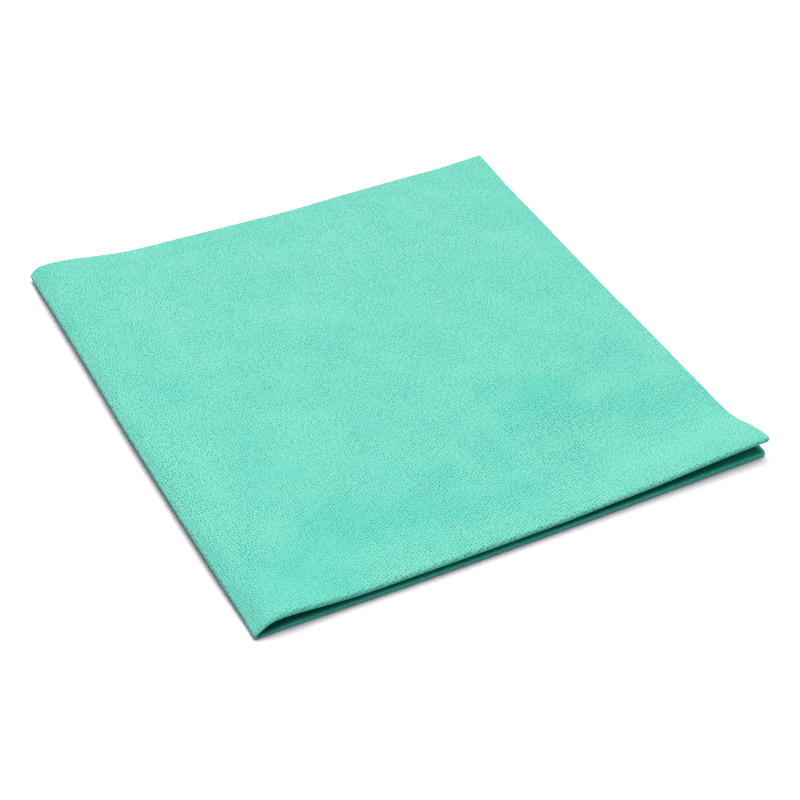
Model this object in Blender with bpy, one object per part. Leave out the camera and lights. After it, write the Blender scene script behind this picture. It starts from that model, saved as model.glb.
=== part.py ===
"""Microfibre cloth, folded in quarters and lying flat, with one front corner lifted.

The cloth is made the way it is folded by hand. A flat blank, as thick as the cloth, is
scored with the lines along which it bends. It is then folded twice: across the front
crease into a leaf of two plies, and across the left crease into a lower and an upper
leaf. It stays one closed solid from start to end.

Metres, +Z up. +X runs along the front crease from the left fold, +Y runs to the back.
"""

import math

import bmesh
import bpy
from mathutils import Vector

MM = 0.001

# The cut cloth
BLANK_WIDTH = 380.0 * MM  # across the left crease, both leaves
BLANK_DEPTH = 382.0 * MM  # across the front crease, both plies
PLY = 1.0 * MM  # thickness of the cloth

# How tightly it is folded
PLY_GAP = 0.3 * MM  # between the two plies of a leaf
CREASE_GAP = 0.3 * MM  # between the two leaves, inside the left crease

# Sizes that follow
PLY_RADIUS = (PLY + PLY_GAP) / 2  # of a ply's middle, round the front crease
LEAF_HALF = PLY + PLY_GAP / 2  # half the thickness of a leaf
LEAF_RADIUS = LEAF_HALF + CREASE_GAP / 2  # of a leaf's middle, round the left crease
LEAF_HEIGHT = LEAF_HALF  # of the lower leaf's middle above the surface
CREASE_SIDE = LEAF_RADIUS + LEAF_HALF  # from the left side to the crease's own middle
FRONT_BEND = PLY_RADIUS * math.pi / 2  # cloth in half of the front crease
LEFT_BEND = LEAF_RADIUS * math.pi / 2  # cloth in the lower half of the left crease

# The left fold, from where the lower leaf ends. It springs open behind the crease, so
# the upper leaf climbs, runs over a crest and sinks back onto the lower leaf.
# run: length of cloth. turn: how far it bends, in degrees, towards the lower leaf.
# steps: lines scored in it.
OPENING = 24.0
SINKING = 4.0
LEFT_FOLD = (
    # name, run, turn, steps
    ("crease", LEAF_RADIUS * math.radians(180 - OPENING), 180 - OPENING, 8),
    ("rise", 1.5 * MM, 0.0, 1),
    ("crest", 4.4 * MM, OPENING, 4),
    ("shoulder", 3.0 * MM, 0.0, 1),
    ("brow", 8.0 * MM, SINKING, 3),
    ("slope", 9.7 * MM, 0.0, 1),
    ("foot", 13.0 * MM, -SINKING, 4),
)
BODY_STEPS = 14  # of the upper leaf, right of the left fold
LOWER_STEPS = 12  # of the lower leaf

# Lines scored along the front crease, by their distance behind the bend
FRONT_BEND_STEPS = 8
DEPTH_LINES = (4.0 * MM, 8.0 * MM, 12.0 * MM, 16.0 * MM, 20.0 * MM, 26.0 * MM)
BACK_STEPS = 4

# The upper leaf's front edge curls up towards the open corner
CURL_DEPTH = 21.0 * MM  # where it starts, behind the front crease
CURL_FLAT = 2.5 * MM  # where it levels out
FRONT_CURL = (
    # distance from the left side, lift
    (50.0 * MM, 0.0 * MM),
    (105.0 * MM, 0.2 * MM),
    (125.0 * MM, 0.7 * MM),
    (145.0 * MM, 1.5 * MM),
    (165.0 * MM, 2.8 * MM),
    (178.0 * MM, 3.5 * MM),
    (191.0 * MM, 3.9 * MM),
)

# The upper leaf's back corner is flicked up a little
FLICK_REACH = 24.0 * MM
FLICK_LIFT = 0.9 * MM

# How far the cut edges are drawn in from a straight line
BACK_INSET = (
    # distance from the left side, inset
    (0.0 * MM, 1.0 * MM),
    (12.0 * MM, 0.0 * MM),
    (30.0 * MM, 2.2 * MM),
    (50.0 * MM, 2.8 * MM),
    (90.0 * MM, 3.1 * MM),
    (120.0 * MM, 2.1 * MM),
    (150.0 * MM, 0.9 * MM),
    (178.0 * MM, 0.4 * MM),
    (191.0 * MM, -0.2 * MM),
)
RIGHT_INSET = (
    # distance from the front, inset
    (0.0 * MM, -1.8 * MM),
    (8.0 * MM, -1.2 * MM),
    (20.0 * MM, 0.1 * MM),
    (98.0 * MM, 0.0 * MM),
    (150.0 * MM, -0.6 * MM),
    (191.0 * MM, -1.1 * MM),
)
HIDDEN_INSET = 0.5 * MM  # of the three plies under the top one, past the tables

# How far the creases bow out from a straight line
LEFT_BOW = (
    # distance from the front, bow
    (0.0 * MM, 0.0 * MM),
    (12.0 * MM, 0.4 * MM),
    (30.0 * MM, 0.9 * MM),
    (60.0 * MM, 1.2 * MM),
    (100.0 * MM, 1.3 * MM),
    (140.0 * MM, 0.8 * MM),
    (191.0 * MM, 0.7 * MM),
)
FRONT_BOW = (
    # distance from the left side, bow
    (0.0 * MM, 0.0 * MM),
    (25.0 * MM, 0.4 * MM),
    (55.0 * MM, 0.8 * MM),
    (110.0 * MM, 0.8 * MM),
    (150.0 * MM, 0.4 * MM),
    (191.0 * MM, 0.0 * MM),
)
BOW_REACH = 30.0 * MM  # from a crease, where its bow has faded

CLOTH_COLOUR = (0.205, 0.737, 0.591, 1.0)
CLOTH_ROUGHNESS = 0.92


def clear_scene():
    for item in list(bpy.data.objects):
        bpy.data.objects.remove(item)


def ease(share):
    """A smooth step from 0 to 1."""
    share = min(max(share, 0.0), 1.0)
    return share * share * (3 - 2 * share)


def slope_at(table, row):
    """The slope of a table's line at a row, from the rows beside it."""
    before = table[max(row - 1, 0)]
    after = table[min(row + 1, len(table) - 1)]
    return (after[1] - before[1]) / (after[0] - before[0])


def read_table(table, place):
    """The value at a place, on a smooth line through a table's rows."""
    place = min(max(place, table[0][0]), table[-1][0])
    row = 0
    while place > table[row + 1][0]:
        row += 1
    start, first = table[row]
    end, last = table[row + 1]
    length = end - start
    share = (place - start) / length
    level = first + (last - first) * ease(share)
    leaving = slope_at(table, row) * length * share * (1 - share) ** 2
    arriving = slope_at(table, row + 1) * length * share**2 * (1 - share)
    return level + leaving - arriving


def width_lines():
    """Where the blank is scored across its width, measured from the crease's middle."""
    lower_end = -BLANK_WIDTH / 2
    lines = [
        lower_end + (-LEFT_BEND - lower_end) * step / LOWER_STEPS
        for step in range(LOWER_STEPS + 1)
    ]
    for _, run, _, steps in LEFT_FOLD:
        start = lines[-1]
        lines += [start + run * step / steps for step in range(1, steps + 1)]
    start = lines[-1]
    body = BLANK_WIDTH / 2 - start
    lines += [start + body * step / BODY_STEPS for step in range(1, BODY_STEPS + 1)]
    return lines


def depth_lines():
    """Where the blank is scored across its depth, measured from the crease's middle."""
    bend = [
        FRONT_BEND * 2 * step / FRONT_BEND_STEPS
        for step in range(1, FRONT_BEND_STEPS // 2 + 1)
    ]
    near = [FRONT_BEND + line for line in DEPTH_LINES]
    rest = BLANK_DEPTH / 2 - near[-1]
    back = [near[-1] + rest * step / BACK_STEPS for step in range(1, BACK_STEPS + 1)]
    half = bend + near + back
    return [-line for line in reversed(half)] + [0.0] + half


def flat_blank():
    """The cut cloth as a flat slab of its own thickness, scored along every bend."""
    blank = bmesh.new()
    bmesh.ops.create_grid(blank, x_segments=1, y_segments=1, size=0.5)
    bmesh.ops.scale(blank, vec=(BLANK_WIDTH, BLANK_DEPTH, 1.0), verts=blank.verts)
    for lines, across in (
        (width_lines(), Vector((1, 0, 0))),
        (depth_lines(), Vector((0, 1, 0))),
    ):
        for line in lines[1:-1]:
            bmesh.ops.bisect_plane(
                blank,
                geom=blank.verts[:] + blank.edges[:] + blank.faces[:],
                dist=0.01 * MM,
                plane_co=across * line,
                plane_no=across,
            )
    bmesh.ops.translate(blank, vec=(0, 0, -PLY / 2), verts=blank.verts)
    upper = bmesh.ops.extrude_face_region(blank, geom=blank.faces[:])["geom"]
    raised = [item for item in upper if isinstance(item, bmesh.types.BMVert)]
    bmesh.ops.translate(blank, vec=(0, 0, PLY), verts=raised)
    bmesh.ops.recalc_face_normals(blank, faces=blank.faces)
    return blank


def fold_front(along, offset):
    """Folds the depth of the blank round the front crease.

    Gives the distance behind the front, and the offset from the leaf's middle, which is
    positive on the outer ply.
    """
    radius = PLY_RADIUS + offset
    side = math.copysign(1.0, along)
    if abs(along) < FRONT_BEND:
        angle = along / PLY_RADIUS
        return LEAF_HALF - radius * math.cos(angle), radius * math.sin(angle)
    return LEAF_HALF + abs(along) - FRONT_BEND, side * radius


def fold_left(along):
    """Follows the middle of the leaf round the left fold.

    Gives its place, left to right and upwards, and the direction out of the fold.
    """
    place = Vector((CREASE_SIDE, LEAF_HEIGHT))
    heading = math.pi
    rest = along + LEFT_BEND
    if rest <= 0:
        return place + Vector((-rest, 0)), Vector((0, -1))
    body = (("body", BLANK_WIDTH, 0.0, 0),)
    for _, run, turn, _ in LEFT_FOLD + body:
        part = min(rest, run)
        bend = math.radians(turn) * part / run
        chord = part
        if turn:
            radius = part / bend
            chord = 2 * radius * math.sin(bend / 2)
        middle = heading - bend / 2
        place += chord * Vector((math.cos(middle), math.sin(middle)))
        heading -= bend
        rest -= part
        if rest <= 0:
            break
    return place, Vector((-math.sin(heading), math.cos(heading)))


def lift(left, behind):
    """How far the upper leaf stands above its flat run at a place on it."""
    curl = read_table(FRONT_CURL, left)
    curl *= 1 - ease((behind - CURL_FLAT) / (CURL_DEPTH - CURL_FLAT))
    from_corner = math.hypot(BLANK_WIDTH / 2 - left, BLANK_DEPTH / 2 - behind)
    return curl + FLICK_LIFT * (1 - ease(from_corner / FLICK_REACH))


def trim(width, depth):
    """Draws the cut edges in to their uneven outline, on the flat blank."""
    left = abs(width)
    behind = abs(depth)
    under = 0.0 if width > 0 and depth > 0 else HIDDEN_INSET
    still = FRONT_BEND + DEPTH_LINES[-1]
    share = max(behind - still, 0.0) / (BLANK_DEPTH / 2 - still)
    depth *= 1 - share * (read_table(BACK_INSET, left) + under) / (BLANK_DEPTH / 2)
    fold_end = sum(run for _, run, _, _ in LEFT_FOLD) - LEFT_BEND
    if width > fold_end:
        share = (width - fold_end) / (BLANK_WIDTH / 2 - fold_end)
        width -= share * (read_table(RIGHT_INSET, behind) + under)
    return width, depth


def fold_point(point):
    """Takes a point of the flat blank to its place in the folded cloth."""
    width, depth = trim(point.x, point.y)
    behind, offset = fold_front(depth, point.z)
    middle, outwards = fold_left(width)
    left, height = middle + outwards * offset
    if width > 0:
        height += lift(left, behind)
    left_bow = read_table(LEFT_BOW, behind) * (1 - ease(left / BOW_REACH))
    front_bow = read_table(FRONT_BOW, left) * (1 - ease(behind / BOW_REACH))
    return Vector((left - left_bow, behind - front_bow, height))


def cloth_material():
    """Matt sea-green microfibre."""
    material = bpy.data.materials.new("sea_green_microfibre")
    material.use_nodes = True
    shader = material.node_tree.nodes["Principled BSDF"]
    shader.inputs["Base Color"].default_value = CLOTH_COLOUR
    shader.inputs["Roughness"].default_value = CLOTH_ROUGHNESS
    shader.inputs["Metallic"].default_value = 0.0
    return material


def centre_on_surface(folded):
    """Moves the cloth so that the middle of its underside is the origin."""
    places = [vert.co for vert in folded.verts]
    low = Vector([min(place[axis] for place in places) for axis in range(3)])
    high = Vector([max(place[axis] for place in places) for axis in range(3)])
    shift = Vector((-(low.x + high.x) / 2, -(low.y + high.y) / 2, -low.z))
    bmesh.ops.translate(folded, vec=shift, verts=folded.verts)


def make_cloth():
    cloth = flat_blank()
    for vert in cloth.verts:
        vert.co = fold_point(vert.co)
    centre_on_surface(cloth)
    mesh = bpy.data.meshes.new("cloth")
    cloth.to_mesh(mesh)
    cloth.free()
    mesh.shade_smooth()
    mesh.set_sharp_from_angle(angle=math.radians(50))
    mesh.materials.append(cloth_material())
    item = bpy.data.objects.new("cloth", mesh)
    bpy.context.scene.collection.objects.link(item)
    return item


clear_scene()
make_cloth()
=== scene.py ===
"""A microfibre cloth folded into quarters, modelled to be looked at, and the studio it lies in.

The cloth starts as a flat cut sheet and is folded the way it is folded by hand: across the
front crease, then across the left crease. The file is laid out as a Blender 4.5 add-on and
is run as a script.

Metres, +Z up. +X runs along the front crease from the left fold, +Y runs to the back.
"""

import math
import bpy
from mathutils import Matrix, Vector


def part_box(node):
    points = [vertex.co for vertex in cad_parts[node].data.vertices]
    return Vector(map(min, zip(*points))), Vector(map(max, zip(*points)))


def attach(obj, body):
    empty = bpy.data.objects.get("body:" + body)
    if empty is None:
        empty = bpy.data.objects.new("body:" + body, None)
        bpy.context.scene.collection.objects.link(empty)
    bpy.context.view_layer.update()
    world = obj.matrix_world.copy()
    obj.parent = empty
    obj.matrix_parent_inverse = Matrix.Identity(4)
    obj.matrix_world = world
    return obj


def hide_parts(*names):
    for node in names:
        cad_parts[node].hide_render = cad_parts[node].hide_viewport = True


bl_info = {
    "name": "Folded microfibre cloth",
    "version": (1, 0, 0),
    "blender": (4, 5, 0),
    "location": "3D View > Sidebar > Folded cloth",
    "description": "Folds a microfibre cloth into quarters and lays it in a plain studio",
    "category": "Object",
}

import bmesh
import bpy
from bpy.props import FloatProperty, FloatVectorProperty, PointerProperty
from mathutils import Matrix, Vector, noise

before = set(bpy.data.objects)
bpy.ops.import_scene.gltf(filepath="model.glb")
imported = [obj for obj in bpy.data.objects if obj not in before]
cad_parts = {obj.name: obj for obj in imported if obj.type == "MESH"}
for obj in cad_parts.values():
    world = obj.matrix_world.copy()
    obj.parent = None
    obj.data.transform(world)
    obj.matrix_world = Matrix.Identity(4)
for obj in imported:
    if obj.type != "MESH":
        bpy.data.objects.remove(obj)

MM = 0.001
CAD_NODE = "cloth"
BODY = "root"
CLOTH_NAME = "folded_microfibre_cloth"
FLOOR_NAME = "studio_floor"
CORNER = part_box(CAD_NODE)[0]  # of the CAD cloth's box, at the left, front and bottom

# ---------------------------------------------------------------- how the cloth is folded

# The left fold, from its crease onwards. The crease springs open, so the upper leaf rises
# out of it, bends level over a crest and sinks back onto the lower leaf.
OPENING = 32.0  # degrees that the crease stays open
EASING = 14.0  # degrees of them that the leaf bends back before its crest
SINKING = 4.0  # degrees that it dips behind its crest
CREASE_STEPS = 14  # rows of the mesh in the crease
LEFT_FOLD = (
    # name, length of cloth, degrees it bends towards the lower leaf, rows of the mesh
    ("rise", 1.5 * MM, 0.0, 2),
    ("easing", 2.8 * MM, EASING, 5),
    ("crest", 5.4 * MM, OPENING - EASING, 8),
    ("shoulder", 2.0 * MM, 0.0, 2),
    ("brow", 8.0 * MM, SINKING, 6),
    ("slope", 9.9 * MM, 0.0, 7),
    ("foot", 13.0 * MM, -SINKING, 9),
)
PRESSED = 0.5  # share of its thickness that the cloth keeps in the left crease
PRESS_REACH = 12.0 * MM  # from the left crease, where it is back to full thickness
LEFT_LIFT = (
    # distance from the front, how far the springy left crease stands off the floor
    (0.0 * MM, 0.2 * MM),
    (12.0 * MM, 1.2 * MM),
    (30.0 * MM, 2.0 * MM),
    (60.0 * MM, 2.3 * MM),
    (165.0 * MM, 2.4 * MM),
    (178.0 * MM, 1.9 * MM),
    (191.0 * MM, 0.9 * MM),
)
LIFT_REACH = 10.0 * MM  # from the left crease, where its lift has faded
FRONT_STEPS = 12  # rows of the mesh in the front crease

# The upper leaf's front edge stands off the lower leaf a little all along, and curls up
# towards the open corner
CURL_DEPTH = 21.0 * MM  # where it starts, behind the front crease
CURL_FLAT = 2.5 * MM  # where it levels out
FRONT_CURL = (
    # distance from the left side, lift
    (1.5 * MM, 0.0 * MM),
    (5.0 * MM, 0.75 * MM),
    (10.0 * MM, 0.65 * MM),
    (25.0 * MM, 0.25 * MM),
    (50.0 * MM, 0.45 * MM),
    (105.0 * MM, 0.6 * MM),
    (125.0 * MM, 1.15 * MM),
    (145.0 * MM, 1.7 * MM),
    (165.0 * MM, 2.9 * MM),
    (178.0 * MM, 3.5 * MM),
    (184.0 * MM, 3.7 * MM),
    (191.0 * MM, 3.65 * MM),
)

# The upper leaf's open back corner is flicked up a little
FLICK_REACH = 24.0 * MM
FLICK_LIFT = 0.9 * MM

# How far the cut edges are drawn in from a straight line
TRIM_START = 27.0 * MM  # behind the front crease
BACK_INSET = (
    # distance from the left side, inset
    (0.0 * MM, -0.4 * MM),
    (3.0 * MM, -1.5 * MM),
    (12.0 * MM, -0.1 * MM),
    (30.0 * MM, 2.0 * MM),
    (50.0 * MM, 2.7 * MM),
    (65.0 * MM, 2.7 * MM),
    (90.0 * MM, 3.0 * MM),
    (104.0 * MM, 3.0 * MM),
    (120.0 * MM, 2.1 * MM),
    (150.0 * MM, 0.9 * MM),
    (178.0 * MM, 0.4 * MM),
    (191.0 * MM, -0.2 * MM),
)
RIGHT_INSET = (
    # distance from the front, inset
    (0.0 * MM, -1.9 * MM),
    (8.0 * MM, -1.0 * MM),
    (20.0 * MM, 0.1 * MM),
    (26.0 * MM, 0.2 * MM),
    (70.0 * MM, -0.1 * MM),
    (98.0 * MM, 0.0 * MM),
    (150.0 * MM, -0.6 * MM),
    (191.0 * MM, -1.1 * MM),
)

# How far the creases bow out from a straight line
LEFT_BOW = (
    # distance from the front, bow
    (0.0 * MM, -0.1 * MM),
    (12.0 * MM, 0.4 * MM),
    (30.0 * MM, 0.85 * MM),
    (60.0 * MM, 1.1 * MM),
    (100.0 * MM, 1.2 * MM),
    (120.0 * MM, 0.9 * MM),
    (140.0 * MM, 0.65 * MM),
    (180.0 * MM, 0.3 * MM),
    (191.0 * MM, 0.1 * MM),
)
FRONT_BOW = (
    # distance from the left side, bow
    (0.0 * MM, -0.1 * MM),
    (25.0 * MM, 0.4 * MM),
    (55.0 * MM, 0.8 * MM),
    (110.0 * MM, 0.8 * MM),
    (150.0 * MM, 0.4 * MM),
    (191.0 * MM, 0.0 * MM),
)
BOW_REACH = 30.0 * MM  # from a crease, where its bow has faded
CORNER_PULL = 0.3 * MM  # of the folded corner, outwards
CORNER_REACH = 9.0 * MM

# The plies don't end in one line at the cut edges
PLY_ENDS = {
    # upper leaf, outer ply: inset at the back, inset at the right
    (True, True): (0.0 * MM, 0.0 * MM),
    (True, False): (0.7 * MM, 0.4 * MM),
    (False, False): (0.3 * MM, -1.0 * MM),
    (False, True): (0.9 * MM, -1.1 * MM),
}
FRAY = 0.16 * MM  # how far a cut edge wanders
FRAY_LENGTH = 5.0 * MM
FRAY_WAVES = (
    # share of the wander, how much finer it is
    (1.0, 1.0),
    (0.6, 2.7),
)
FRAY_APART = 7.3  # between one edge's noise and the next one's

# Soft troughs and ridges of the upper leaf, from how the light lies on it
SWELLS = (
    # name, left, behind, half length, half width, turn in degrees, rise
    ("behind the curl", 172.0 * MM, 42.0 * MM, 34.0 * MM, 9.0 * MM, -4.0, 0.42 * MM),
    ("right of the middle", 148.0 * MM, 84.0 * MM, 22.0 * MM, 15.0 * MM, 35.0, 0.50 * MM),
    ("right edge", 181.0 * MM, 118.0 * MM, 18.0 * MM, 12.0 * MM, 80.0, 0.25 * MM),
    ("front left", 42.0 * MM, 36.0 * MM, 34.0 * MM, 9.0 * MM, 6.0, 0.34 * MM),
    ("front middle", 88.0 * MM, 38.0 * MM, 24.0 * MM, 9.0 * MM, -8.0, 0.30 * MM),
    ("middle", 94.0 * MM, 119.0 * MM, 9.0 * MM, 6.0 * MM, 20.0, 0.22 * MM),
    ("back left", 78.0 * MM, 158.0 * MM, 20.0 * MM, 9.0 * MM, -20.0, 0.26 * MM),
    ("left of the back", 32.0 * MM, 142.0 * MM, 22.0 * MM, 8.0 * MM, 60.0, 0.30 * MM),
    ("back right", 150.0 * MM, 124.0 * MM, 26.0 * MM, 10.0 * MM, 10.0, 0.28 * MM),
)
RIPPLE = 0.10 * MM  # of the upper leaf, everywhere
RIPPLE_LENGTH = 14.0 * MM
RIPPLE_WAVES = (
    # share of the ripple, how much finer it is
    (1.0, 1.0),
    (0.5, 2.3),
)
SWELL_BED = 0.28 * MM  # how far the swells' level lies above the flat leaf
EDGE_FADE = 9.0 * MM  # from the creases and edges, where the swells have their full height

# Soft areas where the dye is cooler or warmer, and the nap hides more or less of the marks
COOLNESS = 0.25  # of the dye everywhere
NAP_AREAS = (
    # name, left, behind, half length, half width, turn in degrees, cooler, smoother
    ("right of the middle", 134.0 * MM, 57.0 * MM, 16.0 * MM, 12.0 * MM, 30.0, 0.43, 0.0),
    ("behind the curl", 160.0 * MM, 36.0 * MM, 24.0 * MM, 8.0 * MM, 0.0, 0.30, -0.20),
    ("curl", 162.0 * MM, 11.0 * MM, 38.0 * MM, 8.0 * MM, 3.0, -0.45, 0.20),
    ("front left", 44.0 * MM, 26.0 * MM, 26.0 * MM, 11.0 * MM, -6.0, 0.46, 0.05),
    ("front middle", 86.0 * MM, 22.0 * MM, 26.0 * MM, 10.0 * MM, -6.0, 0.30, 0.0),
    ("folded corner", 16.0 * MM, 9.0 * MM, 30.0 * MM, 14.0 * MM, 20.0, 0.58, 0.35),
    ("left of the middle", 42.0 * MM, 58.0 * MM, 18.0 * MM, 16.0 * MM, 0.0, 0.10, 0.20),
    ("left edge", 20.0 * MM, 106.0 * MM, 20.0 * MM, 12.0 * MM, 90.0, 0.20, 0.0),
    ("front", 96.0 * MM, 34.0 * MM, 90.0 * MM, 36.0 * MM, 0.0, 0.20, 0.0),
    ("middle", 130.0 * MM, 42.0 * MM, 18.0 * MM, 12.0 * MM, 0.0, 0.0, -0.30),
    ("right", 165.0 * MM, 100.0 * MM, 30.0 * MM, 50.0 * MM, 0.0, 0.0, -0.10),
    ("back of the middle", 87.0 * MM, 130.0 * MM, 14.0 * MM, 10.0 * MM, 0.0, 0.0, 0.20),
    ("back left", 47.0 * MM, 126.0 * MM, 28.0 * MM, 10.0 * MM, 63.0, -0.16, 0.0),
    ("back", 110.0 * MM, 165.0 * MM, 80.0 * MM, 34.0 * MM, 0.0, -0.27, -0.11),
)

# Where the cloth's two colours of painted shade start on the bend of the front crease, which
# runs from 1 on a leaf's outer ply to -1 on its inner one
UPPER_PAINTED_TURN = 0.50  # turned in, on the upper leaf
LOWER_PAINTED_TURN = 1.00
UPPER_PAINTED_CREVICE = 0.15  # in the crevice, on the upper leaf
LOWER_PAINTED_CREVICE = 0.35
OPEN_PAINTED_CREVICE = 0.26 / MM  # how far the curl's lift moves the painted crevice shade inwards

# ----------------------------------------------------------- the fabric's marks and grain

# The pin marks repeat over the cloth. One repeat, charted in four courses.
PIN_REPEAT_ACROSS = 8.1 * MM
PIN_REPEAT_ALONG = 4.56 * MM
PIN_CHART = (
    # first course: across, along
    (0.85 * MM, 0.75 * MM),
    (1.90 * MM, 0.90 * MM),
    (2.95 * MM, 1.05 * MM),
    (4.20 * MM, 0.35 * MM),
    (5.25 * MM, 0.65 * MM),
    (6.45 * MM, 0.85 * MM),
    (7.95 * MM, 0.50 * MM),
    # second course
    (0.20 * MM, 1.80 * MM),
    (1.25 * MM, 1.75 * MM),
    (2.20 * MM, 2.25 * MM),
    (3.25 * MM, 2.10 * MM),
    (4.25 * MM, 1.40 * MM),
    (5.25 * MM, 1.75 * MM),
    (6.35 * MM, 2.10 * MM),
    (7.40 * MM, 1.55 * MM),
    # third course
    (1.10 * MM, 2.85 * MM),
    (2.20 * MM, 3.35 * MM),
    (3.55 * MM, 3.15 * MM),
    (4.60 * MM, 2.70 * MM),
    (5.70 * MM, 3.10 * MM),
    (6.90 * MM, 3.25 * MM),
    (7.90 * MM, 2.75 * MM),
    # fourth course
    (0.00 * MM, 3.95 * MM),
    (1.05 * MM, 4.10 * MM),
    (2.10 * MM, 4.48 * MM),
    (3.20 * MM, 4.15 * MM),
    (4.70 * MM, 3.90 * MM),
    (5.95 * MM, 4.10 * MM),
    (7.00 * MM, 4.48 * MM),
)
PIN_SKEW = 0.9  # degrees between the courses and the front crease
PIN_WANDER = 0.5 * MM  # width of the band that a course wanders in
PIN_OPENED = 0.55  # share of a mark that the front crease holds open under the nap

# The noises in the fabric, and in the floor
GRAINS = {
    # name: length of a patch, detail, roughness
    "wander": (9.0 * MM, 2.0, 0.5),
    "nap": (9.0 * MM, 3.0, 0.6),
    "single marks": (1.3 * MM, 0.0, 0.5),
    "fibres": (0.20 * MM, 2.0, 0.6),
    "tufts": (0.9 * MM, 2.0, 0.5),
    "patches": (24.0 * MM, 3.0, 0.55),
    "uneven dye": (20.0 * MM, 4.0, 0.6),
    "tooth": (0.8 * MM, 2.0, 0.5),
}

# What is made of a noise. Its values from low to high are taken to those from first to last.
SHADINGS = {
    # name: low, high, first, last, with soft ends
    "nap over the marks": (0.34, 0.58, 0.58, 0.96, True),
    "uneven marks": (0.30, 0.65, 0.40, 1.00, True),
    "cooler patches": (0.34, 0.64, -0.22, 0.24, True),
    "lie of the nap": (0.36, 0.64, -0.05, 0.10, True),
    "tuft shade": (0.30, 0.70, -0.42, 0.66, False),
    "fibre shade": (0.30, 0.70, -0.22, 0.38, False),
    "lighter tufts": (0.35, 0.65, 0.86, 1.00, True),
    "matt": (0.30, 0.70, 0.82, 0.96, False),
    "raised tufts": (0.30, 0.70, 0.00, 0.22, False),
    "fuzz": (0.30, 0.70, 0.00, 0.10, False),
}
FLOOR_TOOTH = 0.02 * MM  # height of the paper's faint tooth

# --------------------------------------------------------------- the mesh and its layers

CLOTH_MAP = "flat_cloth"  # the flat cloth's own metres
EXPORT_MAP = "OFBake"  # every face beside the others in one square
STRETCH = "stretch"  # 1 where the front crease pulls the pin marks open
CUT_EDGE = "cut_edge"  # 1 on the cut edges
# Painted shade: where this is 1, cloth turned away from the light gets a darker colour
PAINTED_TURNED_SHADE = "painted_turned_shade"  # 1 where the cloth is turned away from the open light
# Painted shade: where this is 1, cloth deep between two plies gets a darker colour
PAINTED_CREVICE_SHADE = "painted_crevice_shade"  # 1 deep between two plies
COOLER = "cooler"  # 1 where the dye is coolest
MARKED = "marked"  # 1 where the nap leaves the pin marks as they are, 0 where it hides them

# How the square of the export map is shared out. The top of the folded cloth gets most.
RIM_SHARE = 0.012  # of each strip for a cut edge
LOWER_LEAF_SHARE = 0.24  # of the width
INNER_PLY_SHARE = 0.10  # of the depth
INSIDE_SHARE = 0.15  # of the strip for the sheet's inner side

# Small measures of the mesh
RIM_ROW = 2.5  # edge roundings between a cut edge and the row of the mesh beside it
SHARP = math.radians(60)  # between two faces of the flat slab that meet at a cut edge
SQUARE_ON = 0.9  # part of a face's normal along the way that it faces
CUT_MARGIN = 0.1 * MM  # a point so close to the cut edge is on it
STRETCH_REACH = 1.5 * MM  # from the front crease, where it no longer stretches the cloth


def ease(share):
    """A smooth step from 0 to 1."""
    share = min(max(share, 0.0), 1.0)
    return share * share * (3 - 2 * share)


def in_oval(left, behind, middle_left, middle_behind, half_length, half_width, turn):
    """1 in the middle of a soft oval on the folded cloth, and 0 far outside it."""
    angle = math.radians(turn)
    across = left - middle_left
    back = behind - middle_behind
    along = (across * math.cos(angle) + back * math.sin(angle)) / half_length
    aside = (back * math.cos(angle) - across * math.sin(angle)) / half_width
    return math.exp(-along * along - aside * aside)


def waves(place, table):
    """Noise at a place, of every fineness in a table."""
    return sum(share * noise.noise(place * finer) for share, finer in table)


def slope_at(table, row):
    """The slope of a table's line at a row, from the rows beside it."""
    before = table[max(row - 1, 0)]
    after = table[min(row + 1, len(table) - 1)]
    return (after[1] - before[1]) / (after[0] - before[0])


def read_table(table, place):
    """The value at a place, on a smooth line through a table's rows."""
    place = min(max(place, table[0][0]), table[-1][0])
    row = 0
    while place > table[row + 1][0]:
        row += 1
    start, first = table[row]
    end, last = table[row + 1]
    length = end - start
    share = (place - start) / length
    level = first + (last - first) * ease(share)
    leaving = slope_at(table, row) * length * share * (1 - share) ** 2
    arriving = slope_at(table, row + 1) * length * share**2 * (1 - share)
    return level + leaving - arriving


# --------------------------------------------------------------------------- the settings


def length_setting(name, description, default):
    """A length in metres."""
    return FloatProperty(
        name=name, description=description, default=default, precision=5, unit="LENGTH"
    )


def colour_setting(name, description, default):
    """A colour with its alpha."""
    return FloatVectorProperty(
        name=name,
        description=description,
        default=default,
        size=4,
        min=0.0,
        max=1.0,
        subtype="COLOR",
    )


def share_setting(name, description, default):
    """A strength from 0 up."""
    return FloatProperty(
        name=name, description=description, default=default, min=0.0, subtype="FACTOR"
    )


def angle_setting(name, description, default):
    """An angle, whose default is given in degrees."""
    return FloatProperty(
        name=name,
        description=description,
        default=math.radians(default),
        subtype="ANGLE",
        unit="ROTATION",
    )


class ClothSizes(bpy.types.PropertyGroup):
    """The cut cloth, how tightly it is folded, and how finely it is modelled."""

    width: length_setting("Width", "Cut size across the left crease", 0.380)
    depth: length_setting("Depth", "Cut size across the front crease", 0.382)
    ply: length_setting("Thickness", "Thickness of the cloth", 1.0 * MM)
    ply_gap: length_setting("Ply gap", "Gap between the plies of a leaf", 0.3 * MM)
    crease_gap: length_setting("Leaf gap", "Gap between the leaves in the crease", 0.3 * MM)
    rim_round: length_setting("Edge rounding", "Rounding of the cut edges", 0.3 * MM)
    fine_row: length_setting("Fine rows", "Mesh rows where the cloth shows", 1.42 * MM)
    coarse_row: length_setting("Coarse rows", "Mesh rows of the hidden plies", 3.4 * MM)


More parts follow.
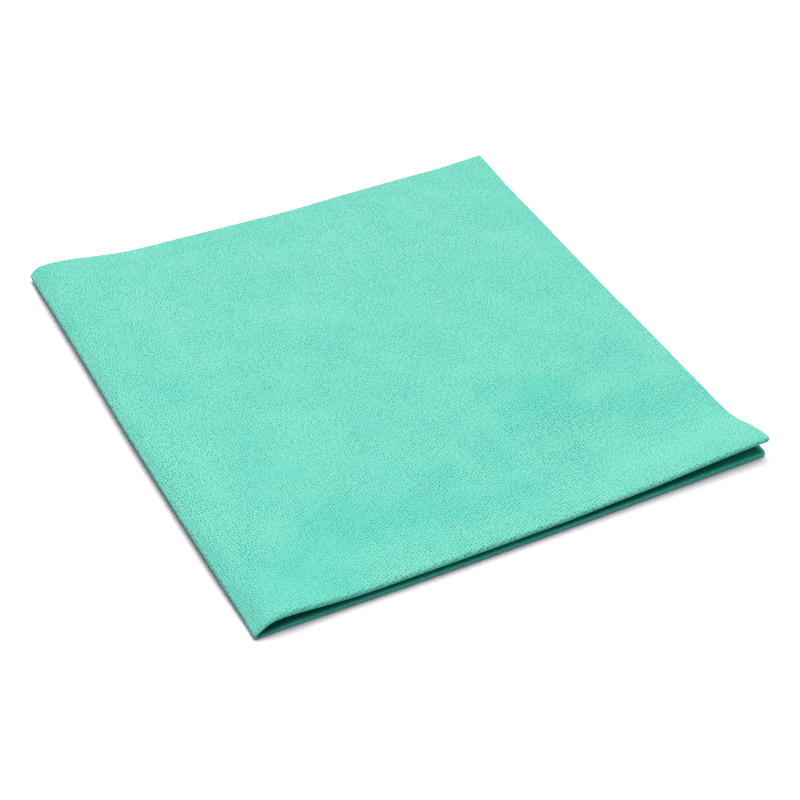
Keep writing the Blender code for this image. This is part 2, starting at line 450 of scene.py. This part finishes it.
class ClothFinish(bpy.types.PropertyGroup):
    """The microfibre's colours and painted shades, pin marks and nap."""

    land_colour: colour_setting(
        "Cloth", "Colour between the pin marks", (0.226, 0.669, 0.529, 1.0)
    )
    cool_colour: colour_setting(
        "Cooler cloth", "Colour of its coolest areas", (0.146, 0.612, 0.495, 1.0)
    )
    shade_colour: colour_setting(
        "Shaded nap", "Colour where the nap lies the darker way", (0.090, 0.515, 0.405, 1.0)
    )
    # Partly the marks' own colour, partly painted shade in their pits, beside their bumped
    # depth
    pin_mark_and_shade_colour: colour_setting(
        "Pin marks", "Colour and painted shade in the pin marks", (0.010, 0.225, 0.168, 1.0)
    )
    # Partly the cut fibres' own colour, partly painted shade on the plies' cut ends
    cut_edge_and_shade_colour: colour_setting(
        "Cut edge", "Colour of the cut fibres and painted shade", (0.060, 0.400, 0.305, 1.0)
    )
    # Painted shade: a deep green for the noses and for cloth turned away from the light
    painted_turned_shade_colour: colour_setting(
        "Painted turned shade", "Painted shade on cloth turned away from the light", (0.035, 0.520, 0.375, 1.0)
    )
    # Painted shade: this colour stands in for the shade deep between the folds and plies
    painted_crevice_shade_colour: colour_setting(
        "Painted crevice shade", "Painted shade deep between the folds", (0.004, 0.200, 0.145, 1.0)
    )
    pin_core: length_setting("Pin core", "Radius of a mark's floor", 0.06 * MM)
    pin_reach: length_setting("Pin reach", "Radius of a mark's brim", 0.46 * MM)
    pin_depth: length_setting("Pin depth", "Depth of a mark", 0.12 * MM)
    sheen: share_setting("Sheen", "Soft light on the nap seen edge on", 0.06)


class StudioSettings(bpy.types.PropertyGroup):
    """The floor, the light and the camera."""

    floor_colour: colour_setting("Floor", "Colour of the floor", (0.90, 0.815, 0.86, 1.0))
    floor_size: length_setting("Floor size", "Side of the floor", 90.0)
    key_strength: FloatProperty(
        name="Key light", description="Strength of the large soft light", default=3.53
    )
    key_azimuth: angle_setting("Key azimuth", "Key light, from +Y towards +X", 20.0)
    key_elevation: angle_setting("Key elevation", "Key light above the floor", 76.0)
    key_softness: angle_setting("Key softness", "Apparent width of the key light", 38.0)
    fill_colour: colour_setting("Fill", "Light from all round", (1.0, 1.0, 1.0, 1.0))
    fill_strength: share_setting("Fill strength", "Strength of light from all round", 0.22)
    lens: FloatProperty(
        name="Lens", description="Focal length on a 36 mm sensor", default=80.7
    )
    view_azimuth: angle_setting("View azimuth", "0 looks along +Y, 90 along -X", -31.88)
    view_elevation: angle_setting("View elevation", "Camera above the floor", 40.96)
    view_roll: angle_setting("View roll", "Turn of the camera about its view", 4.86)
    view_distance: length_setting("View distance", "Camera to the point it looks at", 0.620)
    look_left: length_setting("Look from left", "That point, from the left side", 0.0918)
    look_behind: length_setting("Look from front", "That point, from the front", 0.0774)


# ---------------------------------------------------------------------------- the folding


class Folding:
    """Takes points of the flat cloth to their places in the folded one.

    A flat point's x is its distance across the left crease, positive on the upper leaf.
    Its y is its distance across the front crease, positive on the outer plies. Its z runs
    through the thickness, from the side folded inwards to the side folded outwards.
    """

    def __init__(self, sizes):
        self.half_width = sizes.width / 2
        self.half_depth = sizes.depth / 2
        self.ply = sizes.ply
        self.ply_radius = (sizes.ply + sizes.ply_gap) / 2
        self.leaf_half = sizes.ply + sizes.ply_gap / 2
        self.leaf_radius = PRESSED * (self.leaf_half + sizes.crease_gap / 2)
        self.crease_side = self.leaf_radius + PRESSED * self.leaf_half
        self.front_bend = self.ply_radius * math.pi / 2
        self.left_bend = self.leaf_radius * math.pi / 2
        crease_turn = 180 - OPENING
        crease_run = self.leaf_radius * math.radians(crease_turn)
        crease = ("crease", crease_run, crease_turn, CREASE_STEPS)
        body = ("body", sizes.width, 0.0, 0)
        self.left_fold = (crease,) + LEFT_FOLD
        self.left_walk = self.left_fold + (body,)
        self.fold_end = sum(run for _, run, _, _ in self.left_fold) - self.left_bend
        self.fine_row = sizes.fine_row
        self.coarse_row = sizes.coarse_row
        self.rim_row = sizes.rim_round * RIM_ROW

    def rows(self, start, end, spacing):
        """Even rows from start, which is left out, to the cut edge at end, with one more
        row close to that edge."""
        way = math.copysign(1.0, end - start)
        last = end - way * self.rim_row
        count = math.ceil(abs(last - start) / spacing)
        return [start + (last - start) * step / count for step in range(1, count + 1)] + [end]

    def width_rows(self):
        """Where the mesh has rows across the cloth's width."""
        lower = self.rows(-self.left_bend, -self.half_width, self.coarse_row)
        rows = lower[::-1] + [-self.left_bend]
        for _, run, _, steps in self.left_fold:
            start = rows[-1]
            rows += [start + run * step / steps for step in range(1, steps + 1)]
        return rows + self.rows(rows[-1], self.half_width, self.fine_row)

    def depth_rows(self):
        """Where the mesh has rows across the cloth's depth."""
        bend = [
            self.front_bend * (2 * step / FRONT_STEPS - 1) for step in range(FRONT_STEPS + 1)
        ]
        inner = self.rows(bend[0], -self.half_depth, self.coarse_row)
        return inner[::-1] + bend + self.rows(bend[-1], self.half_depth, self.fine_row)

    def round_front(self, along, offset):
        """Folds the depth round the front crease.

        Gives the distance behind the front, and the offset from the leaf's middle.
        """
        radius = self.ply_radius + offset
        side = math.copysign(1.0, along)
        if abs(along) < self.front_bend:
            angle = along / self.ply_radius
            return self.leaf_half - radius * math.cos(angle), radius * math.sin(angle)
        return self.leaf_half + abs(along) - self.front_bend, side * radius

    def pressed(self, along):
        """The share of its thickness that the cloth keeps, so far from the left crease."""
        away = max(abs(along) - self.left_bend, 0.0)
        return PRESSED + (1 - PRESSED) * ease(away / PRESS_REACH)

    def round_left(self, along):
        """Follows the leaf's middle round the left fold.

        Gives its place, left to right and upwards, and the direction out of the fold.
        """
        place = Vector((self.crease_side, self.leaf_half))
        heading = math.pi
        rest = along + self.left_bend
        if rest <= 0:
            return place + Vector((-rest, 0)), Vector((0, -1))
        for _, run, turn, _ in self.left_walk:
            part = min(rest, run)
            bend = math.radians(turn) * part / run
            chord = part
            if turn:
                radius = part / bend
                chord = 2 * radius * math.sin(bend / 2)
            middle = heading - bend / 2
            place += chord * Vector((math.cos(middle), math.sin(middle)))
            heading -= bend
            rest -= part
            if rest <= 0:
                break
        return place, Vector((-math.sin(heading), math.cos(heading)))

    def curl(self, left, behind):
        """How far the front edge's curl and the back corner's flick lift the upper leaf."""
        lift = read_table(FRONT_CURL, left)
        lift *= 1 - ease((behind - CURL_FLAT) / (CURL_DEPTH - CURL_FLAT))
        from_corner = math.hypot(self.half_width - left, self.half_depth - behind)
        return lift + FLICK_LIFT * (1 - ease(from_corner / FLICK_REACH))

    def swell(self, left, behind):
        """How far soft ridges, troughs and ripples lift the upper leaf."""
        height = SWELL_BED
        for _, *oval, rise in SWELLS:
            height += rise * in_oval(left, behind, *oval)
        place = Vector((left, behind, 0.0)) / RIPPLE_LENGTH
        height += RIPPLE * waves(place, RIPPLE_WAVES)
        margin = min(
            left - self.crease_side, behind, self.half_width - left, self.half_depth - behind
        )
        return height * ease(margin / EDGE_FADE)

    def fray(self, along, edge):
        """How far a cut edge wanders at a place along it. edge tells the edges apart."""
        place = Vector((along / FRAY_LENGTH, edge * FRAY_APART, 0.0))
        return FRAY * waves(place, FRAY_WAVES)

    def trim(self, width, depth):
        """Draws the cut edges in to their uneven outline, on the flat cloth."""
        left = abs(width)
        behind = abs(depth)
        ply = (width > 0, depth > 0)
        back_end, right_end = PLY_ENDS[ply]
        edge = 1 + 2 * ply[0] + ply[1]
        share = max(behind - TRIM_START, 0.0) / (self.half_depth - TRIM_START)
        inset = read_table(BACK_INSET, left) + back_end + self.fray(left, edge)
        depth *= 1 - share * inset / self.half_depth
        share = (left - self.fold_end) / (self.half_width - self.fold_end)
        if share > 0:
            inset = read_table(RIGHT_INSET, behind) if width > 0 else 0.0
            inset += right_end + self.fray(behind, -edge)
            width *= 1 - share * inset / self.half_width
        return width, depth

    def place(self, flat):
        """The folded place of a flat point."""
        width, depth = self.trim(flat.x, flat.y)
        behind, offset = self.round_front(depth, flat.z)
        middle, outwards = self.round_left(width)
        pressed = self.pressed(width)
        left, height = middle + outwards * offset * pressed
        # Where its plies are pressed thinner, the leaf's middle lies lower
        height -= (1 - pressed) * self.leaf_half
        height += read_table(LEFT_LIFT, behind) * (1 - ease(left / LIFT_REACH))
        if width > 0:
            height += self.curl(left, behind) + self.swell(left, behind)
        pull = CORNER_PULL * (1 - ease(math.hypot(left, behind) / CORNER_REACH))
        left_bow = read_table(LEFT_BOW, behind) * (1 - ease(left / BOW_REACH))
        front_bow = read_table(FRONT_BOW, left) * (1 - ease(behind / BOW_REACH))
        return Vector((left - left_bow - pull, behind - front_bow - pull, height))

    def stretch(self, flat):
        """How far the front crease pulls the pin marks open, from 0 to 1."""
        return 1 - ease((abs(flat.y) - self.front_bend) / STRETCH_REACH)

    def painted_crevice_shade(self, flat):
        """Painted shade where a point lies deep between two plies, from 0 to 1."""
        if flat.z < 0:
            return 1.0
        start = UPPER_PAINTED_CREVICE if flat.x > 0 else LOWER_PAINTED_CREVICE
        start -= OPEN_PAINTED_CREVICE * self.curl(abs(flat.x), abs(flat.y))
        return ease(start - flat.y / self.front_bend)

    def painted_turned_shade(self, flat):
        """Painted shade where a point is turned away from the open light, from 0 to 1."""
        if flat.z < 0:
            return 1.0
        start = UPPER_PAINTED_TURN if flat.x > 0 else LOWER_PAINTED_TURN
        return ease(start - flat.y / self.front_bend)

    def nap(self, flat):
        """How cool the dye is, and how much of the pin marks the nap leaves."""
        cooler = COOLNESS
        marked = 1.0
        for _, *oval, cools, smooths in NAP_AREAS:
            inside = in_oval(abs(flat.x), abs(flat.y), *oval)
            cooler += cools * inside
            marked -= smooths * inside
        return cooler, marked


# ------------------------------------------------------------------------ the cloth's mesh


def flat_sheet(folding, rim_round):
    """The cut cloth as a flat slab with soft cut edges. It starts as a grid of unit size,
    whose rows are then set close where the cloth bends or shows."""
    across = folding.width_rows()
    along = folding.depth_rows()
    sheet = bmesh.new()
    bmesh.ops.create_grid(
        sheet, x_segments=len(across) - 1, y_segments=len(along) - 1, size=0.5
    )
    for vert in sheet.verts:
        column = round((vert.co.x + 0.5) * (len(across) - 1))
        row = round((vert.co.y + 0.5) * (len(along) - 1))
        vert.co = Vector((across[column], along[row], -folding.ply / 2))
    upper = bmesh.ops.extrude_face_region(sheet, geom=sheet.faces[:])["geom"]
    raised = [item for item in upper if isinstance(item, bmesh.types.BMVert)]
    bmesh.ops.translate(sheet, vec=(0, 0, folding.ply), verts=raised)
    bmesh.ops.recalc_face_normals(sheet, faces=sheet.faces)
    rim = [edge for edge in sheet.edges if edge.calc_face_angle(0.0) > SHARP]
    bmesh.ops.bevel(
        sheet,
        geom=rim,
        offset=rim_round,
        segments=2,
        profile=0.5,
        material=-1,
        affect="EDGES",
    )
    return sheet


def shared_out(place, low, high, split, low_share):
    """A place between low and high as 0 to 1, with low_share of it below split."""
    if place < split:
        return low_share * (place - low) / (split - low)
    return low_share + (1 - low_share) * (place - split) / (high - split)


def on_export_map(folding, face, flat):
    """Where a corner of a face lies on the export map.

    The sheet's inner side has a strip along the bottom of the map, and its outer side the
    rest, with the four cut edges in narrow strips round it.
    """
    across = shared_out(
        flat.x,
        -folding.half_width,
        folding.half_width,
        -folding.left_bend,
        LOWER_LEAF_SHARE,
    )
    along = shared_out(
        flat.y,
        -folding.half_depth,
        folding.half_depth,
        -folding.front_bend,
        INNER_PLY_SHARE,
    )
    normal = face.normal
    across = RIM_SHARE + (1 - 2 * RIM_SHARE) * across
    if normal.z < -SQUARE_ON:
        return across, (INSIDE_SHARE - RIM_SHARE) * along
    along = INSIDE_SHARE + RIM_SHARE + (1 - INSIDE_SHARE - 2 * RIM_SHARE) * along
    if normal.z > SQUARE_ON:
        return across, along
    through = (flat.z / folding.ply + 0.5) * RIM_SHARE
    if abs(normal.x) > abs(normal.y):
        return (1 - RIM_SHARE + through if normal.x > 0 else through), along
    return across, (1 - RIM_SHARE if normal.y > 0 else INSIDE_SHARE) + through


def map_sheet(sheet, folding):
    """Gives the flat slab its maps and the layers that its material reads."""
    cloth_map = sheet.loops.layers.uv.new(CLOTH_MAP)
    export_map = sheet.loops.layers.uv.new(EXPORT_MAP)
    stretch = sheet.verts.layers.float.new(STRETCH)
    cut_edge = sheet.verts.layers.float.new(CUT_EDGE)
    painted_turned_shade = sheet.verts.layers.float.new(PAINTED_TURNED_SHADE)
    painted_crevice_shade = sheet.verts.layers.float.new(PAINTED_CREVICE_SHADE)
    cooler = sheet.verts.layers.float.new(COOLER)
    marked = sheet.verts.layers.float.new(MARKED)
    sheet.normal_update()
    for face in sheet.faces:
        for loop in face.loops:
            flat = loop.vert.co
            loop[cloth_map].uv = flat.xy
            loop[export_map].uv = on_export_map(folding, face, flat)
    for vert in sheet.verts:
        vert[stretch] = folding.stretch(vert.co)
        vert[painted_turned_shade] = folding.painted_turned_shade(vert.co)
        vert[painted_crevice_shade] = folding.painted_crevice_shade(vert.co)
        vert[cooler], vert[marked] = folding.nap(vert.co)
        margin = min(
            folding.half_width - abs(vert.co.x), folding.half_depth - abs(vert.co.y)
        )
        vert[cut_edge] = 1.0 if margin < CUT_MARGIN else 0.0


def fold_sheet(sheet, folding):
    """Folds the slab, and lays it on the floor with its left and front where the CAD's are."""
    for vert in sheet.verts:
        vert.co = folding.place(vert.co)
    lowest = min(vert.co.z for vert in sheet.verts)
    bmesh.ops.translate(sheet, vec=(CORNER.x, CORNER.y, -lowest), verts=sheet.verts)


# --------------------------------------------------------------------------- the materials


class Wiring:
    """Adds shader nodes to a tree, and sets or links their inputs as they are added."""

    def __init__(self, tree):
        self.tree = tree
        self.count = 0

    def add(self, kind, label, inputs=None, **settings):
        node = self.tree.nodes.new("ShaderNode" + kind)
        node.label = label
        node.location = (220 * (self.count // 5), -260 * (self.count % 5))
        self.count += 1
        for name, value in settings.items():
            setattr(node, name, value)
        for name, value in (inputs or {}).items():
            if isinstance(value, bpy.types.NodeSocket):
                self.tree.links.new(value, node.inputs[name])
            else:
                node.inputs[name].default_value = value
        return node

    def layer(self, name):
        """A value from one of the mesh's layers."""
        return self.add("Attribute", name, attribute_name=name).outputs["Fac"]

    def calculate(self, label, operation, first, second):
        """The result of a Math node."""
        node = self.add("Math", label, {0: first, 1: second}, operation=operation)
        return node.outputs[0]

    def remap(self, label, value, low, high, first, last, soft_ends=True):
        """A value taken from low..high to first..last."""
        kind = "SMOOTHSTEP" if soft_ends else "LINEAR"
        places = {"Value": value, "From Min": low, "From Max": high}
        places |= {"To Min": first, "To Max": last}
        return self.add("MapRange", label, places, interpolation_type=kind).outputs[0]

    def shading(self, name, value):
        """What a row of SHADINGS makes of a noise."""
        return self.remap(name, value, *SHADINGS[name])

    def grain(self, name, place, output=0):
        """Noise as a row of GRAINS gives it, from 0 to 1."""
        length, detail, roughness = GRAINS[name]
        inputs = {"Vector": place, "Scale": 1.0 / length}
        inputs |= {"Detail": detail, "Roughness": roughness}
        node = self.add("TexNoise", name, inputs, noise_dimensions="3D")
        return node.outputs[output]

    def mix(self, label, share, first, second):
        """Two colours mixed."""
        node = self.add("Mix", label, data_type="RGBA", blend_type="MIX")
        colours = [socket for socket in node.inputs if socket.type == "RGBA"]
        sockets = [node.inputs["Factor"]] + colours
        for socket, value in zip(sockets, (share, first, second)):
            if isinstance(value, bpy.types.NodeSocket):
                self.tree.links.new(value, socket)
            else:
                socket.default_value = value
        return next(socket for socket in node.outputs if socket.type == "RGBA")


def pin_marks_group():
    """A node group that measures how far a place is from the nearest pin mark."""
    group = bpy.data.node_groups.new("pin marks", "ShaderNodeTree")
    group.interface.new_socket("Place", in_out="INPUT", socket_type="NodeSocketVector")
    group.interface.new_socket("Distance", in_out="OUTPUT", socket_type="NodeSocketFloat")
    wiring = Wiring(group)
    entry = group.nodes.new("NodeGroupInput")
    leave = group.nodes.new("NodeGroupOutput")
    half = (PIN_REPEAT_ACROSS / 2, PIN_REPEAT_ALONG / 2, 0.0)
    nearest = None
    for across, along in PIN_CHART:
        away = wiring.add(
            "VectorMath",
            "from the mark",
            {0: entry.outputs["Place"], 1: (across, along, 0.0)},
            operation="SUBTRACT",
        )
        wrapped = wiring.add(
            "VectorMath",
            "within one repeat",
            {0: away.outputs[0], 1: half, 2: tuple(-side for side in half)},
            operation="WRAP",
        )
        length = wiring.add(
            "VectorMath", "distance", {0: wrapped.outputs[0]}, operation="LENGTH"
        ).outputs["Value"]
        if nearest is None:
            nearest = length
        else:
            nearest = wiring.calculate("nearest", "MINIMUM", nearest, length)
    group.links.new(nearest, leave.inputs["Distance"])
    return group


def pin_distance(wiring, flat):
    """How far a place is from the nearest pin mark, in courses that lie askew and wander."""
    skew = (0.0, 0.0, math.radians(PIN_SKEW))
    courses = wiring.add("Mapping", "lie of the courses", {"Vector": flat, "Rotation": skew})
    offset = wiring.add(
        "VectorMath",
        "centred wander",
        {0: wiring.grain("wander", flat, "Color"), 1: (0.5, 0.5, 0.5)},
        operation="SUBTRACT",
    )
    pulled = wiring.add(
        "VectorMath",
        "pulled courses",
        {0: offset.outputs[0], 1: (PIN_WANDER, PIN_WANDER, 0.0), 2: courses.outputs[0]},
        operation="MULTIPLY_ADD",
    )
    pins = wiring.add(
        "Group", "pin marks", {"Place": pulled.outputs[0]}, node_tree=pin_marks_group()
    )
    return pins.outputs["Distance"]


def pin_marks(wiring, flat, finish):
    """The pin marks, from 1 on a mark's floor to 0 at its brim. They fade where the brushed
    nap closes over them, and the front crease pulls them open."""
    distance = pin_distance(wiring, flat)
    mark = wiring.remap("mark", distance, finish.pin_core, finish.pin_reach, 1.0, 0.0)
    fade = wiring.shading("nap over the marks", wiring.grain("nap", flat))
    uneven = wiring.shading("uneven marks", wiring.grain("single marks", flat))
    shown = wiring.calculate("marks that show", "MULTIPLY", fade, uneven)
    shown = wiring.calculate("smoother areas", "MULTIPLY", shown, wiring.layer(MARKED))
    opened = wiring.calculate("half open", "MULTIPLY", wiring.layer(STRETCH), PIN_OPENED)
    shown = wiring.calculate("open in the crease", "MAXIMUM", shown, opened)
    return wiring.calculate("marks", "MULTIPLY", mark, shown)


def cloth_colour(wiring, flat, fibre, tuft, mark, finish):
    """The dyed nap. Turned in cloth and crevices get painted shade; its cut edges and pin marks
    are darker, partly in their own colour and partly in painted shade.
    """
    dye = wiring.shading("cooler patches", wiring.grain("uneven dye", flat))
    cool = wiring.calculate("cool", "ADD", wiring.layer(COOLER), dye)
    colour = wiring.mix("dye", cool, finish.land_colour, finish.cool_colour)
    tufted = wiring.shading("tuft shade", tuft)
    fibred = wiring.shading("fibre shade", fibre)
    shade = wiring.calculate("tufts and fibres", "ADD", tufted, fibred)
    lie = wiring.shading("lie of the nap", wiring.grain("patches", flat))
    shade = wiring.calculate("shade", "ADD", shade, lie)
    colour = wiring.mix("fibre shades", shade, colour, finish.shade_colour)
    # Cut edges darker, partly in the cut fibres' own colour, partly in painted shade
    colour = wiring.mix("cut edge", wiring.layer(CUT_EDGE), colour, finish.cut_edge_and_shade_colour)
    lighter = wiring.shading("lighter tufts", tuft)
    # Painted shade on cloth turned away from the light, mottled by the lighter tufts
    turned = wiring.calculate("mottled painted turned shade", "MULTIPLY", wiring.layer(PAINTED_TURNED_SHADE), lighter)
    colour = wiring.mix("turned in", turned, colour, finish.painted_turned_shade_colour)
    # Painted shade deep between the plies, mottled by the lighter tufts
    painted_crevice_shade = wiring.calculate("mottled crevice", "MULTIPLY", wiring.layer(PAINTED_CREVICE_SHADE), lighter)
    colour = wiring.mix("painted_crevice_shade", painted_crevice_shade, colour, finish.painted_crevice_shade_colour)
    # Pin marks darker, partly in their own colour, partly in painted shade in the pits
    return wiring.mix("pin marks", mark, colour, finish.pin_mark_and_shade_colour)


def cloth_relief(wiring, fibre, tuft, mark, finish):
    """Sunk marks, raised tufts and fuzz, as shares of a mark's depth."""
    sunk = wiring.calculate("sunk marks", "MULTIPLY", mark, -1.0)
    raised = wiring.shading("raised tufts", tuft)
    height = wiring.calculate("marks and tufts", "ADD", sunk, raised)
    fuzz = wiring.shading("fuzz", fibre)
    height = wiring.calculate("with fuzz", "ADD", height, fuzz)
    inputs = {"Height": height, "Distance": finish.pin_depth, "Strength": 1.0}
    return wiring.add("Bump", "relief", inputs).outputs["Normal"]


def microfibre_material(finish):
    """Matt brushed microfibre, its fibres matted every way in tufts between the pin marks."""
    material = bpy.data.materials.new("sea_green_microfibre")
    material.use_nodes = True
    tree = material.node_tree
    wiring = Wiring(tree)
    flat = wiring.add("UVMap", "flat cloth", uv_map=CLOTH_MAP).outputs["UV"]
    mark = pin_marks(wiring, flat, finish)
    fibre = wiring.grain("fibres", flat)
    tuft = wiring.grain("tufts", flat)
    colour = cloth_colour(wiring, flat, fibre, tuft, mark, finish)
    relief = cloth_relief(wiring, fibre, tuft, mark, finish)
    shader = tree.nodes["Principled BSDF"]
    tree.links.new(colour, shader.inputs["Base Color"])
    tree.links.new(wiring.shading("matt", fibre), shader.inputs["Roughness"])
    tree.links.new(relief, shader.inputs["Normal"])
    shader.inputs["Metallic"].default_value = 0.0
    shader.inputs["Specular IOR Level"].default_value = 0.12
    shader.inputs["Sheen Weight"].default_value = finish.sheen
    shader.inputs["Sheen Roughness"].default_value = 0.45
    shader.inputs["Sheen Tint"].default_value = (0.75, 1.0, 0.92, 1.0)
    return material


def floor_material(studio):
    """Matt pale paper with a faint tooth."""
    material = bpy.data.materials.new("pale_paper")
    material.use_nodes = True
    tree = material.node_tree
    wiring = Wiring(tree)
    shader = tree.nodes["Principled BSDF"]
    shader.inputs["Base Color"].default_value = studio.floor_colour
    shader.inputs["Roughness"].default_value = 1.0
    shader.inputs["Specular IOR Level"].default_value = 0.0
    place = wiring.add("TexCoord", "place").outputs["Object"]
    tooth = wiring.grain("tooth", place)
    bump = wiring.add(
        "Bump", "tooth", {"Height": tooth, "Distance": FLOOR_TOOTH, "Strength": 0.3}
    )
    tree.links.new(bump.outputs["Normal"], shader.inputs["Normal"])
    return material


# --------------------------------------------------------------------------- the operators


def new_piece(name, shape, material):
    """A finished bmesh as an object at the origin."""
    mesh = bpy.data.meshes.new(name)
    shape.to_mesh(mesh)
    shape.free()
    mesh.materials.append(material)
    piece = bpy.data.objects.new(name, mesh)
    bpy.context.scene.collection.objects.link(piece)
    return piece


class CLOTH_OT_lay_studio(bpy.types.Operator):
    """Lay the pale floor and set up its light and camera"""

    bl_idname = "folded_cloth.lay_studio"
    bl_label = "Lay studio"

    def execute(self, context):
        studio = context.scene.cloth_studio
        self.lay_floor(studio)
        self.hang_light(context, studio)
        self.place_camera(context, studio)
        context.scene.view_settings.view_transform = "Standard"
        return {"FINISHED"}

    def lay_floor(self, studio):
        """A plain pale floor that ends far off, seen from low down."""
        floor = bmesh.new()
        bmesh.ops.create_grid(
            floor, x_segments=1, y_segments=1, size=studio.floor_size / 2
        )
        new_piece(FLOOR_NAME, floor, floor_material(studio))

    def hang_light(self, context, studio):
        """A broad soft light from overhead, a little behind, and a weak one from all round."""
        key = bpy.data.lights.new("key_light", "SUN")
        key.energy = studio.key_strength
        key.angle = studio.key_softness
        lamp = bpy.data.objects.new("key_light", key)
        context.scene.collection.objects.link(lamp)
        level = math.cos(studio.key_elevation)
        towards = Vector(
            (
                math.sin(studio.key_azimuth) * level,
                math.cos(studio.key_azimuth) * level,
                math.sin(studio.key_elevation),
            )
        )
        lamp.rotation_euler = towards.to_track_quat("Z", "Y").to_euler()
        lamp.location = towards
        world = bpy.data.worlds.new("studio_fill")
        world.use_nodes = True
        backdrop = world.node_tree.nodes["Background"]
        backdrop.inputs["Color"].default_value = studio.fill_colour
        backdrop.inputs["Strength"].default_value = studio.fill_strength
        context.scene.world = world

    def place_camera(self, context, studio):
        """The camera, looking down at the cloth from beyond its front left corner."""
        camera = bpy.data.objects.new("camera", bpy.data.cameras.new("camera"))
        context.scene.collection.objects.link(camera)
        azimuth = studio.view_azimuth
        level = math.cos(studio.view_elevation)
        ahead = Vector(
            (
                -math.sin(azimuth) * level,
                math.cos(azimuth) * level,
                -math.sin(studio.view_elevation),
            )
        )
        turned = Matrix.Rotation(studio.view_roll, 3, -ahead)
        right = turned @ ahead.cross(Vector((0, 0, 1))).normalized()
        up = right.cross(ahead)
        facing = Matrix((right, up, -ahead)).transposed()
        look = Vector((CORNER.x + studio.look_left, CORNER.y + studio.look_behind, 0.0))
        camera.matrix_world = Matrix.Translation(
            look - ahead * studio.view_distance
        ) @ facing.to_4x4()
        camera.data.sensor_width = 36.0
        camera.data.lens = studio.lens
        camera.data.clip_start = 0.01
        camera.data.clip_end = 100.0
        context.scene.camera = camera


class CLOTH_OT_fold_cloth(bpy.types.Operator):
    """Cut the cloth, fold it into quarters and lay it on the floor"""

    bl_idname = "folded_cloth.fold_cloth"
    bl_label = "Fold cloth"

    def execute(self, context):
        sizes = context.scene.cloth_sizes
        folding = Folding(sizes)
        sheet = flat_sheet(folding, sizes.rim_round)
        map_sheet(sheet, folding)
        fold_sheet(sheet, folding)
        material = microfibre_material(context.scene.cloth_finish)
        cloth = new_piece(CLOTH_NAME, sheet, material)
        cloth.data.shade_smooth()
        cloth.data.uv_layers.active = cloth.data.uv_layers[CLOTH_MAP]
        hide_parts(CAD_NODE)
        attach(cloth, BODY)
        return {"FINISHED"}


class CLOTH_PT_panel(bpy.types.Panel):
    """Lists the operators and their settings"""

    bl_idname = "CLOTH_PT_panel"
    bl_label = "Folded cloth"
    bl_space_type = "VIEW_3D"
    bl_region_type = "UI"
    bl_category = "Folded cloth"

    def draw(self, context):
        scene = context.scene
        for operator, groups in (
            (CLOTH_OT_lay_studio, (scene.cloth_studio,)),
            (CLOTH_OT_fold_cloth, (scene.cloth_sizes, scene.cloth_finish)),
        ):
            box = self.layout.box()
            box.operator(operator.bl_idname)
            for group in groups:
                for name in group.__annotations__:
                    box.prop(group, name)


CLASSES = (
    ClothSizes,
    ClothFinish,
    StudioSettings,
    CLOTH_OT_lay_studio,
    CLOTH_OT_fold_cloth,
    CLOTH_PT_panel,
)
SETTINGS = {
    "cloth_sizes": ClothSizes,
    "cloth_finish": ClothFinish,
    "cloth_studio": StudioSettings,
}


def register():
    for item in CLASSES:
        bpy.utils.register_class(item)
    for name, group in SETTINGS.items():
        setattr(bpy.types.Scene, name, PointerProperty(type=group))


def unregister():
    for name in SETTINGS:
        delattr(bpy.types.Scene, name)
    for item in reversed(CLASSES):
        bpy.utils.unregister_class(item)


def main():
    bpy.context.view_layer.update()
    register()
    bpy.ops.folded_cloth.lay_studio()
    bpy.ops.folded_cloth.fold_cloth()
    bpy.context.view_layer.update()


if __name__ == "__main__":
    main()
